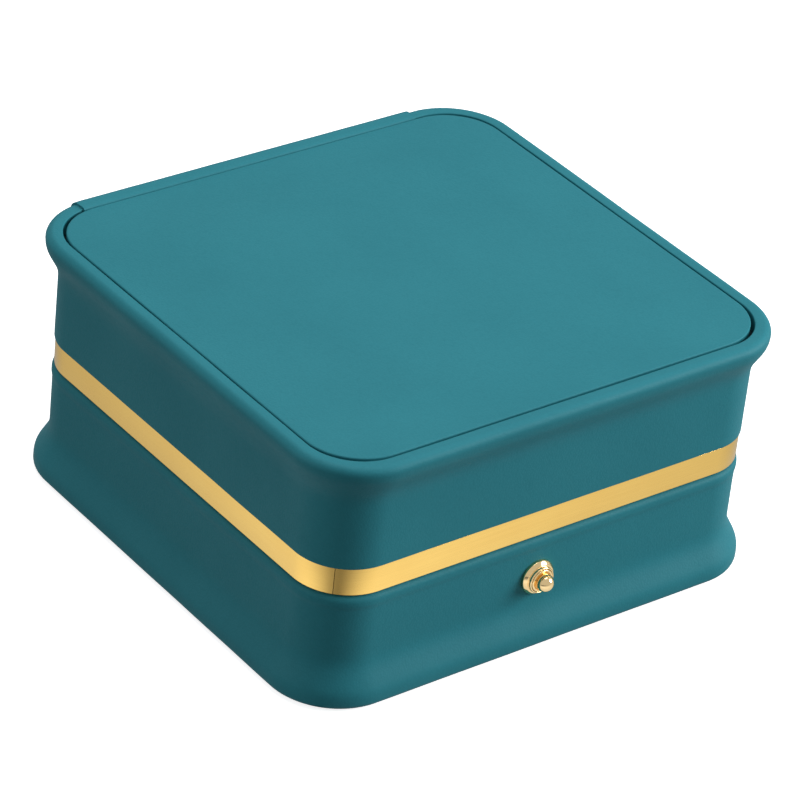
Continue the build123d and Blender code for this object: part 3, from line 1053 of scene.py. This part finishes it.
LEATHER = Grained(
    "teal leatherette",
    light=(40, 124, 136),
    dark=(37, 117, 129),
    roughness=0.55,
    depth=0.018,
    pebbles=2600.0,
    clouds=45.0,
    specular=0.16,
)
VELVET = Grained(
    "cream velvet",
    light=(232, 222, 203),
    dark=(206, 193, 170),
    roughness=0.92,
    depth=0.06,
    pebbles=5200.0,
    clouds=130.0,
    specular=0.1,
    sheen=0.7,
)
SATIN = Grained(
    "cream lining",
    light=(236, 228, 212),
    dark=(219, 208, 188),
    roughness=0.6,
    depth=0.025,
    pebbles=4200.0,
    clouds=70.0,
    specular=0.25,
    sheen=0.3,
)
BOARD = Grained(
    "dark paper over board",
    light=(24, 46, 51),
    dark=(18, 37, 42),
    roughness=0.8,
    depth=0.02,
    pebbles=3000.0,
    clouds=80.0,
    specular=0.2,
)
FELT = Grained(
    "dark felt",
    light=(38, 60, 64),
    dark=(26, 46, 50),
    roughness=0.95,
    depth=0.08,
    pebbles=3600.0,
    clouds=160.0,
    specular=0.1,
    sheen=0.4,
)
GOLD = DrawnMetal("brushed gold", (249, 209, 119), (243, 200, 111), roughness=0.19, depth=0.0016)
BRIGHT = DrawnMetal("turned gold", (250, 222, 168), (243, 211, 152), roughness=0.1, depth=0.0006)
STEEL = DrawnMetal("satin steel", (196, 196, 198), (168, 168, 172), roughness=0.32, depth=0.004)


def dress(piece: Piece, finish: bpy.types.Material) -> None:
    """Give a piece one finish all over.

    Args:
        piece: The piece, or an unchanged solid of the frame.
        finish: Its material.
    """
    if piece.material_slots:
        for place in piece.material_slots:
            place.material = finish
    else:
        piece.data.materials.append(finish)


def dress_solids(finish: Finish, *names: str) -> None:
    """Give unchanged solids of the frame one finish."""
    for name in names:
        dress(FRAME["nodes"][name], finish.material())


def seat(piece: Piece, finish: Finish, body: Body, slot: Slot, *nodes: str) -> None:
    """Dress a piece and say which body it rides on and which solids it stands for.

    Args:
        piece: The piece.
        finish: Its finish.
        body: The body that carries it.
        slot: The record's finish; not used.
        nodes: Solids that it replaces.
    """
    dress(piece, finish.material())
    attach(piece, body.value)
    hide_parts(*nodes)
    LOG.info("%s on %s, %d faces", piece.name, body.value, len(piece.data.polygons))


# Sub-assemblies


def lid_chain() -> list[Corner]:
    """Give the outer face of the lid's leather, from the band up and over the rim.

    Returns:
        Corners as (out, z, radius).
    """
    size = SIZES
    return [
        (size.wall, size.band_high + size.seam, 0.0),
        (size.wall, size.lid_top - size.rim_depth - size.flare_rise, size.neck_round),
        (size.wall + size.flare - size.flare_lean, size.lid_top - size.rim_depth, size.flare_round),
        (size.wall + size.flare, size.lid_top, size.rim_round),
        (size.rim_inner, size.lid_top - size.rim_fall, size.rim_edge),
        (size.rim_inner, size.roof + size.seam, 0.0),
    ]


@dataclass
class LidShell:
    """Leather cover, gold band and padded top panel of the lid."""

    cover_edge: float = 0.2
    cover_wave: Corner = (14.0, 0.07, 3.1)
    gap_left: float = 0.2
    gap_right: float = 0.4
    gap_front: float = 0.46
    gap_back: float = 0.5
    pad_corner: float = 10.4
    pad_top: float = 49.1
    pad_edge: float = 0.26
    pad_crown: float = 0.3
    pad_wave: Corner = (22.0, 0.06, 7.7)
    band_slit: float = 0.07
    band_edge: float = 0.015
    window_high: float = 32.7

    def build(self) -> None:
        """Build and dress the lid's outside."""
        self.cover()
        self.band()
        self.pad()
        dress_solids(BOARD, "lid_core")

    def cover(self) -> None:
        """Make the leather skin that rolls over the rim."""
        size = SIZES
        chain = lid_chain()
        corners = [*chain, *reversed(parallel(chain, size.skin))]
        corners[0] = (*corners[0][:2], self.cover_edge)
        skin = swept("lid_cover", Outline().walk(), rounded(corners), ripple(*self.cover_wave))
        depths = (size.back - size.window_deep, size.back + size.window_proud)
        cut_wall(skin, size.window_half, depths, (size.band_high - 1.0, self.window_high))
        seat(skin, LEATHER, Body.LID, Slot.LEATHER, "lid_leather")

    def band(self) -> None:
        """Make the gold band, with its ends meeting at the front left corner."""
        size = SIZES
        middle = Outline().grown(-size.band_thickness / 2)
        whole = middle.length()
        corner = -middle.arc / 2
        start, finish = corner + self.band_slit / 2, whole + corner - self.band_slit / 2
        piece = PathStrip.make(
            "gold_band_strip",
            middle.walk(start, finish, step=2.0, turn_steps=28),
            (size.band_low, size.band_high),
            size.band_thickness,
            self.band_edge,
            GOLD,
            loop=False,
        )
        heights = (size.band_low - 1, size.band_high + 1)
        cut_wall(piece, size.window_half, (size.back - 3, size.back + 3), heights)
        seat(piece, GOLD, Body.LID, Slot.GOLD, "gold_band")

    def pad(self) -> None:
        """Make the padded panel inside the rim."""
        size = SIZES
        wide = size.half_x + size.rim_inner - (self.gap_left + self.gap_right) / 2
        deep = size.half_y + size.rim_inner - (self.gap_front + self.gap_back) / 2
        middle_x = (self.gap_left - self.gap_right) / 2
        middle_y = size.shift_y + (self.gap_front - self.gap_back) / 2
        outline = Outline(wide, deep, self.pad_corner, middle_y, middle_x)
        corners = [
            (-1.2, size.roof + size.seam, 0.0),
            (0.0, size.roof + size.seam, 0.2),
            (0.0, self.pad_top, self.pad_edge),
            (-2.2, self.pad_top, 0.0),
        ]
        section = rounded(corners, closed=False, reach=0.6)
        panel = Pad(outline, section, self.pad_crown, 40, ripple(*self.pad_wave)).build("top_pad")
        layers = ("top_pad_leather", "top_pad_foam", "top_pad_board")
        seat(panel, LEATHER, Body.LID, Slot.LEATHER, *layers)


@dataclass
class BaseShell:
    """Leather cover, bottom panel and board of the base."""

    wall_inner: float = -2.8
    roll: float = 0.18
    roll_round: float = 1.2
    roll_depth: float = 1.8
    roll_foot: float = 2.7
    neck_round: float = 6.0
    foot_round: float = 1.3
    cover_wave: Corner = (14.0, 0.07, 8.4)
    panel_inset: float = 1.5
    window_low: float = 11.7
    bore: float = 2.8
    bore_deep: float = 4.0
    bore_proud: float = 2.0

    def build(self) -> None:
        """Build and dress the base's outside."""
        self.cover()
        dress_solids(BOARD, "base_core")
        dress_solids(FELT, "base_bottom_panel")

    def cover(self) -> None:
        """Make the leather skin with its flared foot and rolled top edge."""
        size = SIZES
        flared, foot = size.wall + size.flare, size.foot_lift + size.foot_depth
        chain = [
            (self.wall_inner, size.base_high, 0.0),
            (size.wall + self.roll, size.base_high, self.roll_round),
            (size.wall + self.roll, size.base_high - self.roll_depth, 1.0),
            (size.wall, size.base_high - self.roll_foot, 2.0),
            (size.wall, foot + size.flare_rise, self.neck_round),
            (flared - size.flare_lean, foot, size.flare_round),
            (flared, size.foot_lift, self.foot_round),
            (-self.panel_inset, size.foot_lift, 0.0),
        ]
        corners = [*chain, *reversed(parallel(chain, -size.skin))]
        skin = swept("base_cover", Outline().walk(), rounded(corners), ripple(*self.cover_wave))
        depths = (size.back - size.window_deep, size.back + size.window_proud)
        cut_wall(skin, size.window_half, depths, (self.window_low, size.parting + 1.0))
        deep, proud = -self.bore_deep, self.bore_proud
        ends = ((0.0, deep), (self.bore, deep), (self.bore, proud), (0.0, proud))
        apply_cut(skin, turned("bore", [(*end, 0.0) for end in ends]))
        seat(skin, LEATHER, Body.BASE, Slot.LEATHER, "base_leather")


@dataclass
class HingeStrip:
    """Leather strip from the base's back over the hinge and the rim to the top pad."""

    width: float = 73.3
    middle_x: float = -1.6
    thickness: float = 0.4
    clear: float = 0.03
    edge: float = 0.3
    drop: float = 12.2
    tuck: float = 1.9
    bulge: float = 1.3
    bulge_half: float = 1.3
    bulge_round: float = 0.9
    foot_half: float = 2.9
    foot_round: float = 1.6
    wave: Corner = (9.0, 0.06, 5.2)

    def build(self) -> None:
        """Build the strip and dress the steel hinge under it."""
        size = SIZES
        outline = Outline()
        corner = outline.arc
        side_x, side_y = 2 * (size.half_x - size.corner), 2 * (size.half_y - size.corner)
        middle = side_x + corner + side_y + corner + side_x / 2 - self.middle_x
        start, finish = middle - self.width / 2, middle + self.width / 2
        stations = outline.walk(start, finish, step=1.2, turn_steps=30)
        knuckle = size.hinge_out + self.bulge
        chain: list[Corner] = [
            (size.wall, size.parting - self.drop, 0.0),
            (size.wall, size.parting - self.foot_half, self.foot_round),
            (knuckle, size.parting - self.bulge_half, self.bulge_round),
            (knuckle, size.parting + self.bulge_half, self.bulge_round),
            (size.wall, size.parting + self.foot_half, self.foot_round),
            *lid_chain()[1:-1],
            (size.rim_inner, size.lid_top - size.rim_fall - self.tuck, 0.0),
        ]
        outer = parallel(chain, -self.thickness)
        corners = [*outer, *reversed(parallel(chain, -self.clear))]
        for index in (0, len(outer) - 1):
            corners[index] = (*corners[index][:2], self.edge)
        section = rounded(corners, reach=0.6)
        piece = swept("hinge_strip", stations, section, ripple(*self.wave), loop=False)
        dress(piece, LEATHER.material())
        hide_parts("hinge_strip_lid", "hinge_strip_base")
        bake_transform(piece)
        LOG.info("%s bends over the hinge, %d faces", piece.name, len(piece.data.polygons))
        screws = [f"hinge_screw_{side}_{mark}" for side in ("base", "lid") for mark in "abc"]
        dress_solids(STEEL, "hinge_leaf_base", "hinge_leaf_lid", "hinge_pin", *screws)


@dataclass
class ButtonLatch:
    """Push button with its flange, and the steel latch behind it."""

    root: float = -2.85
    flange: float = 3.35
    flange_side: float = 0.55
    flange_depth: float = 1.1
    flange_round: float = 0.35
    shoulder: float = 2.85
    lip: float = 2.55
    lip_rise: float = 0.6
    lip_round: float = 0.22
    clear: float = 0.02
    sleeve: float = 2.8
    skirt: float = 2.2
    clearance: float = 0.06
    reach: float = 4.2
    step: float = 1.8
    step_rise: float = 0.15
    step_round: float = 0.12
    dish: float = 0.25
    ball: float = 1.65
    ball_steps: int = 26
    spring_back: float = 9.45
    spring_length: float = 3.75
    travel: float = 1.5

    def build(self) -> None:
        """Build the turned gold pieces and dress the latch."""
        self.bezel()
        self.knob()
        screws = [f"{kind}_screw_{mark}" for kind in ("latch", "tongue") for mark in "ab"]
        names = ["button_stem", "latch_slide", "latch_housing", "latch_tongue", "return_spring"]
        dress_solids(STEEL, *names, *screws)
        # The spring gets a mesh of its own
        spring = FRAME["nodes"]["return_spring"]
        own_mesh(spring)

    @property
    def face(self) -> float:
        """How far out the flange's face lies."""
        return SIZES.wall + self.flange_depth

    def bezel(self) -> None:
        """Make the sleeve with its flange, shoulder and lip."""
        inner, wall, face = self.skirt + self.clearance, SIZES.wall, self.face
        corners = [
            (self.sleeve, self.root, 0.0),
            (self.sleeve, wall + self.clear, 0.0),
            (self.flange, wall + self.clear, 0.05),
            (self.flange, wall + self.flange_side, self.flange_round),
            (self.shoulder, face, self.lip_round),
            (self.lip + self.clear, face - self.clear, 0.1),
            (self.lip, face + self.lip_rise, self.lip_round),
            (inner, face + self.lip_rise, self.step_round),
            (inner, self.root, 0.0),
        ]
        seat(turned("button_flange", corners), BRIGHT, Body.BASE, Slot.GOLD, "button_bezel")

    def knob(self) -> None:
        """Make the cap: a skirt, a dished step and a ball."""
        step_out = self.face + self.lip_rise + self.step_rise
        neck_out = step_out - self.dish
        ball_out = self.reach - self.ball
        low = math.asin((ball_out - neck_out) / self.ball)
        ball = []
        for step in range(self.ball_steps):
            turn = low - (QUARTER + low) * step / self.ball_steps
            ball.append((self.ball * math.cos(turn), ball_out - self.ball * math.sin(turn), 0.0))
        corners = [
            (0.0, self.root, 0.0),
            (self.skirt, self.root, 0.1),
            (self.skirt, step_out, 0.2),
            (self.step, step_out, self.step_round),
            (self.step - 0.15, neck_out, self.step_round),
            *ball,
            (0.0, self.reach, 0.0),
        ]
        seat(turned("button_knob", corners), BRIGHT, Body.BUTTON, Slot.GOLD, "button_cap")


@dataclass
class Interior:
    """Velvet collar, border, cushion and linings inside the box."""

    floor: float = 3.2
    board: float = 1.2
    lining: float = 1.3
    clear: float = 0.2
    collar_in: float = -4.15
    collar_high: float = 24.5
    collar_edge: float = 0.5
    liner_out: float = -2.65
    liner_thickness: float = 1.0
    liner_low: float = 25.0
    liner_edge: float = 0.3
    liner_slot: float = 4.5
    liner_cut: Pair = (20.0, 32.2)
    liner_deep: float = 4.75
    roof_low: float = 43.35
    panel_thick: float = 1.9
    panel_crown: float = -0.5
    panel_wave: Corner = (12.0, 0.1, 6.1)
    cushion_x: float = 21.5
    cushion_y: float = 20.0
    cushion_corner: float = 8.0
    cushion_top: float = 21.0
    cushion_crown: float = 0.85
    cushion_sag: float = 0.7
    cushion_wave: Corner = (7.0, 0.16, 4.4)
    insert_top: float = 18.0
    border: float = 10.0
    border_round: float = 1.5
    border_fall: float = 0.1
    border_crown: float = 0.25
    border_wave: Corner = (9.0, 0.12, 1.9)
    border_deep: float = 10.35
    lanes: int = 8
    opening_corner: float = 9.0
    notch_half: float = 8.3
    notch: Pair = (9.5, 21.9)
    slot_half: float = 4.6
    slot_low: float = 21.0
    collar_deep: float = 6.0
    cut_high: float = 30.0
    floor_wave: Corner = (10.0, 0.05, 3.7)

    def build(self) -> None:
        """Build every velvet and lining piece."""
        self.collar()
        self.border_frame()
        self.cushion()
        self.lid_lining()
        self.channel_floor()

    def front(self, out: float) -> float:
        """Y of a place at the front wall, offset from the band's face."""
        return -SIZES.half_y - out + SIZES.shift_y

    def collar(self) -> None:
        """Make the velvet-covered collar that rises into the lid."""
        middle = Outline().grown(self.collar_in + self.board / 2)
        heights = (self.floor + SIZES.seam, self.collar_high)
        thick, edge = self.board, self.collar_edge
        piece = PathStrip.make("collar_board", middle.walk(), heights, thick, edge, VELVET)
        depths = (self.front(0.0), self.front(-self.collar_deep))
        cut_wall(piece, self.notch_half, depths, self.notch)
        cut_wall(piece, self.slot_half, depths, (self.slot_low, self.cut_high))
        seat(piece, VELVET, Body.BASE, Slot.VELVET, "base_collar")

    def border_frame(self) -> None:
        """Make the padded velvet border round the channel."""
        out = self.collar_in - self.clear
        deep = out - self.border
        turn, high = self.border_round, self.insert_top - self.border_round
        outer = Outline().grown(out).walk(side_parts=36)
        opening = Outline(SIZES.half_x + deep, SIZES.half_y + deep, self.opening_corner)
        inner = opening.walk(side_parts=36)
        profile = [(0.0, self.floor + self.lining), (0.0, high)]
        for step in range(1, 9):
            angle = QUARTER * step / 8
            profile.append((-turn + turn * math.cos(angle), high + turn * math.sin(angle)))
        mesh = bmesh.new()
        rows = [[mesh.verts.new((*place.at(by), z)) for place in outer] for by, z in profile]
        wave = ripple(*self.border_wave)
        starts, goals = rows[-1], [place.at(turn) for place in inner]
        for lane in range(1, self.lanes):
            share = lane / self.lanes
            row = []
            for start, goal in zip(starts, goals):
                x, y = (start.co[axis] + (goal[axis] - start.co[axis]) * share for axis in range(2))
                lift = wave(x, y, 0.0) - self.border_crown * abs(share - 0.5)
                row.append(mesh.verts.new((x, y, self.insert_top - self.border_fall + lift)))
            rows.append(row)
        for by, z in reversed(profile):
            rows.append([mesh.verts.new((*place.at(-by), z)) for place in inner])
        lace(mesh, rows, around=True, flip=True)
        piece = finish_mesh("velvet_border", mesh)
        depths = (self.front(0.0), self.front(-self.border_deep))
        cut_wall(piece, self.notch_half, depths, (self.notch[0], self.cut_high))
        seat(piece, VELVET, Body.BASE, Slot.VELVET, "insert_frame")

    def channel_floor(self) -> None:
        """Make the velvet floor that shows between the border and the cushion."""
        low = self.floor + SIZES.seam
        high = low + self.board - 0.06
        corners = [(-1.0, low, 0.0), (0.0, low, 0.1), (0.0, high, 0.4), (-2.0, high, 0.0)]
        section = rounded(corners, closed=False, steps=8, reach=0.6)
        outline = Outline().grown(self.collar_in - self.clear)
        piece = Pad(outline, section, 0.0, 30, ripple(*self.floor_wave)).build("channel_floor")
        seat(piece, VELVET, Body.BASE, Slot.VELVET, "base_floor_lining")

    def cushion(self) -> None:
        """Make the crowned cushion that carries the bracelet."""
        low, top = self.floor + self.lining, self.cushion_top
        corners = [
            (-3.0, low, 0.0),
            (-0.6, low, 1.2),
            (0.0, (low + top) / 2, 9.0),
            (-0.7, top - 1.6, 3.2),
            (-6.5, top - 0.9, 0.0),
        ]
        section = rounded(corners, closed=False, steps=14, reach=0.9)
        outline = Outline(self.cushion_x, self.cushion_y, self.cushion_corner)
        wave = ripple(*self.cushion_wave)
        pad = Pad(outline, section, self.cushion_crown, 24, wave, self.cushion_sag)
        piece = pad.build("bracelet_pillow")
        seat(piece, VELVET, Body.BASE, Slot.VELVET, "bracelet_cushion")

    def lid_lining(self) -> None:
        """Make the lid's liner and the soft panel under its roof."""
        middle = Outline().grown(self.liner_out - self.liner_thickness / 2)
        heights = (self.liner_low, self.roof_low)
        thick, edge = self.liner_thickness, self.liner_edge
        liner = PathStrip.make("lid_liner_board", middle.walk(), heights, thick, edge, VELVET)
        depths = (self.front(0.0), self.front(-self.liner_deep))
        cut_wall(liner, self.liner_slot, depths, self.liner_cut)
        seat(liner, VELVET, Body.LID, Slot.VELVET, "lid_liner")
        outline = Outline().grown(self.liner_out - thick - self.clear)
        low, high = self.roof_low - self.panel_thick, self.roof_low
        corners = [(-1.0, high, 0.0), (0.0, high, 0.2), (0.0, low, 1.5), (-3.0, low, 0.0)]
        section = rounded(corners, closed=False, reach=0.6)
        pad = Pad(outline, section, self.panel_crown, 30, ripple(*self.panel_wave))
        panel = pad.build("lid_soft_panel")
        seat(panel, SATIN, Body.LID, Slot.VELVET, "lid_lining_pad")


# Studio


@dataclass(frozen=True)
class Lamp:
    """One soft lamp that looks at the middle of the box."""

    name: str
    place: Corner
    size: float
    power: float
    aim: Corner = (0.0, 0.0, 0.02)

    def build(self) -> None:
        """Put the lamp in the scene."""
        data = bpy.data.lights.new(self.name, "AREA")
        data.shape = "DISK"
        data.size = self.size
        data.energy = self.power
        spot = Vector(self.place)
        heading = (Vector(self.aim) - spot).to_track_quat("-Z", "Y").to_matrix().to_4x4()
        linked(self.name, data).matrix_world = Matrix.Translation(spot) @ heading


@dataclass
class Studio:
    """White floor, soft lamps and the photograph's camera."""

    azimuth: float = -39.917
    elevation: float = 32.284
    roll: float = 6.341
    place: Corner = (-411.75, -493.72, 429.34)
    lens: float = 192.28
    sensor: float = 36.0
    clip: Pair = (0.01, 20.0)
    white: tuple[float, float, float, float] = (1.0, 1.0, 1.0, 1.0)
    floor_half: float = 6.0
    floor_glow: float = 0.8
    floor_pale: Pair = (0.2, 0.8)
    # Painted reflection in metal: its shape round the box's front left corner and its fade with
    # distance
    painted_reflection_power: float = 1.5
    painted_reflection_ends: Pair = (0.04, 0.92)
    painted_reflection_fade_from: Pair = (0.03, 0.15)
    painted_reflection_fade_to: Pair = (1.0, 0.55)
    sky_strength: Pair = (0.27, 1.0)
    sky_in_metal: float = 0.5
    lamps: tuple[Lamp, ...] = (
        Lamp("overhead", (0.1, 0.1, 0.9), 0.7, 4.2),
        Lamp("front_right", (0.8, -0.6, 0.45), 0.6, 10.6),
        Lamp("left_fill", (-0.9, 0.3, 0.35), 0.6, 1.5),
    )

    def build(self) -> None:
        """Build the studio."""
        for lamp in self.lamps:
            lamp.build()
        self.floor()
        self.world()
        self.camera()
        bpy.context.scene.view_settings.view_transform = "Standard"

    def floor(self) -> None:
        """Make a wide pale floor that keeps a faint shadow and shows metal a painted reflection."""
        data = bpy.data.meshes.new("studio_floor")
        wide = self.floor_half
        corners = [(x * wide, y * wide, 0.0) for x, y in ((-1, -1), (1, -1), (1, 1), (-1, 1))]
        data.from_pydata(corners, [], [(0, 1, 2, 3)])
        ground = linked("studio_floor", data)
        finish = bpy.data.materials.new("white floor")
        desk = NodeDesk.cleared(finish)
        rays = desk.add("ShaderNodeLightPath").outputs
        ground_at = desk.add("ShaderNodeNewGeometry").outputs["Position"]
        # Painted reflection: for glossy rays the floor glows bright to either side of the box's
        # front left corner and dark in line with the camera, fading further out, which paints
        # bright and dark reflections into the gold
        near_corner = (-SIZES.half_x * MM, SIZES.front * MM, 0.0)
        from_corner = desk.vector("SUBTRACT", ground_at, near_corner)
        turn = math.radians(self.azimuth)
        heading = desk.vector("NORMALIZE", from_corner)
        along = (math.cos(turn), math.sin(turn), 0.0)
        across = desk.vector("DOT_PRODUCT", heading, along, result="Value")
        painted_reflection_mask = desk.math("POWER", desk.math("ABSOLUTE", across), self.painted_reflection_power)
        painted_reflection = desk.spread(painted_reflection_mask, WHOLE, self.painted_reflection_ends)
        distance = desk.vector("LENGTH", from_corner, result="Value")
        painted_reflection_fade = desk.spread(distance, self.painted_reflection_fade_from, self.painted_reflection_fade_to)
        painted_reflection = desk.math("MULTIPLY", painted_reflection, painted_reflection_fade)
        in_metal = desk.math("MULTIPLY", rays["Is Glossy Ray"], painted_reflection)
        seen = desk.math("MAXIMUM", rays["Is Camera Ray"], rays["Is Transmission Ray"])
        seen = desk.math("MAXIMUM", desk.math("MULTIPLY", seen, self.floor_glow), in_metal)
        glow = desk.first("ShaderNodeEmission", {"Color": self.white, "Strength": seen})
        pale = desk.spread(rays["Is Camera Ray"], WHOLE, self.floor_pale)
        matte = desk.first("ShaderNodeBsdfDiffuse", {"Color": pale})
        both = desk.first("ShaderNodeAddShader", {0: glow, 1: matte})
        desk.add("ShaderNodeOutputMaterial", {"Surface": both})
        dress(ground, finish)

    def world(self) -> None:
        """Make the white surroundings."""
        surroundings = bpy.data.worlds.new("white studio")
        desk = NodeDesk.cleared(surroundings)
        rays = desk.add("ShaderNodeLightPath").outputs
        seen = desk.math("MAXIMUM", rays["Is Camera Ray"], rays["Is Transmission Ray"])
        in_metal = desk.math("MULTIPLY", rays["Is Glossy Ray"], self.sky_in_metal)
        seen = desk.math("MAXIMUM", seen, in_metal)
        strength = desk.spread(seen, WHOLE, self.sky_strength)
        sky = desk.first("ShaderNodeBackground", {"Color": self.white, "Strength": strength})
        desk.add("ShaderNodeOutputWorld", {"Surface": sky})
        bpy.context.scene.world = surroundings

    def camera(self) -> None:
        """Set the camera where the photograph was taken."""
        angles = (self.azimuth, self.elevation, self.roll)
        turn, lift, roll = (math.radians(angle) for angle in angles)
        away = math.cos(lift)
        back = Vector((math.sin(turn) * away, -math.cos(turn) * away, math.sin(lift)))
        level = Vector((0.0, 0.0, 1.0)).cross(back).normalized()
        upright = back.cross(level)
        side = level * math.cos(roll) + upright * math.sin(roll)
        top = upright * math.cos(roll) - level * math.sin(roll)
        data = bpy.data.cameras.new("photo_camera")
        data.sensor_width = self.sensor
        data.lens = self.lens
        data.clip_start, data.clip_end = self.clip
        camera = linked("photo_camera", data)
        turned_to = Matrix((side, top, back)).transposed().to_4x4()
        place = Vector(self.place) * MM + Vector((0.0, SIZES.shift_y * MM, 0.0))
        camera.matrix_world = Matrix.Translation(place) @ turned_to
        bpy.context.scene.camera = camera


def main() -> None:
    """Build the sub-assemblies in order."""
    logging.basicConfig(level=logging.INFO)
    FRAME.update(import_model())
    for part in (LidShell(), BaseShell(), HingeStrip(), ButtonLatch(), Interior()):
        part.build()
        LOG.info("%s is done", type(part).__name__)
    Studio().build()


if __name__ == "__main__":
    main()
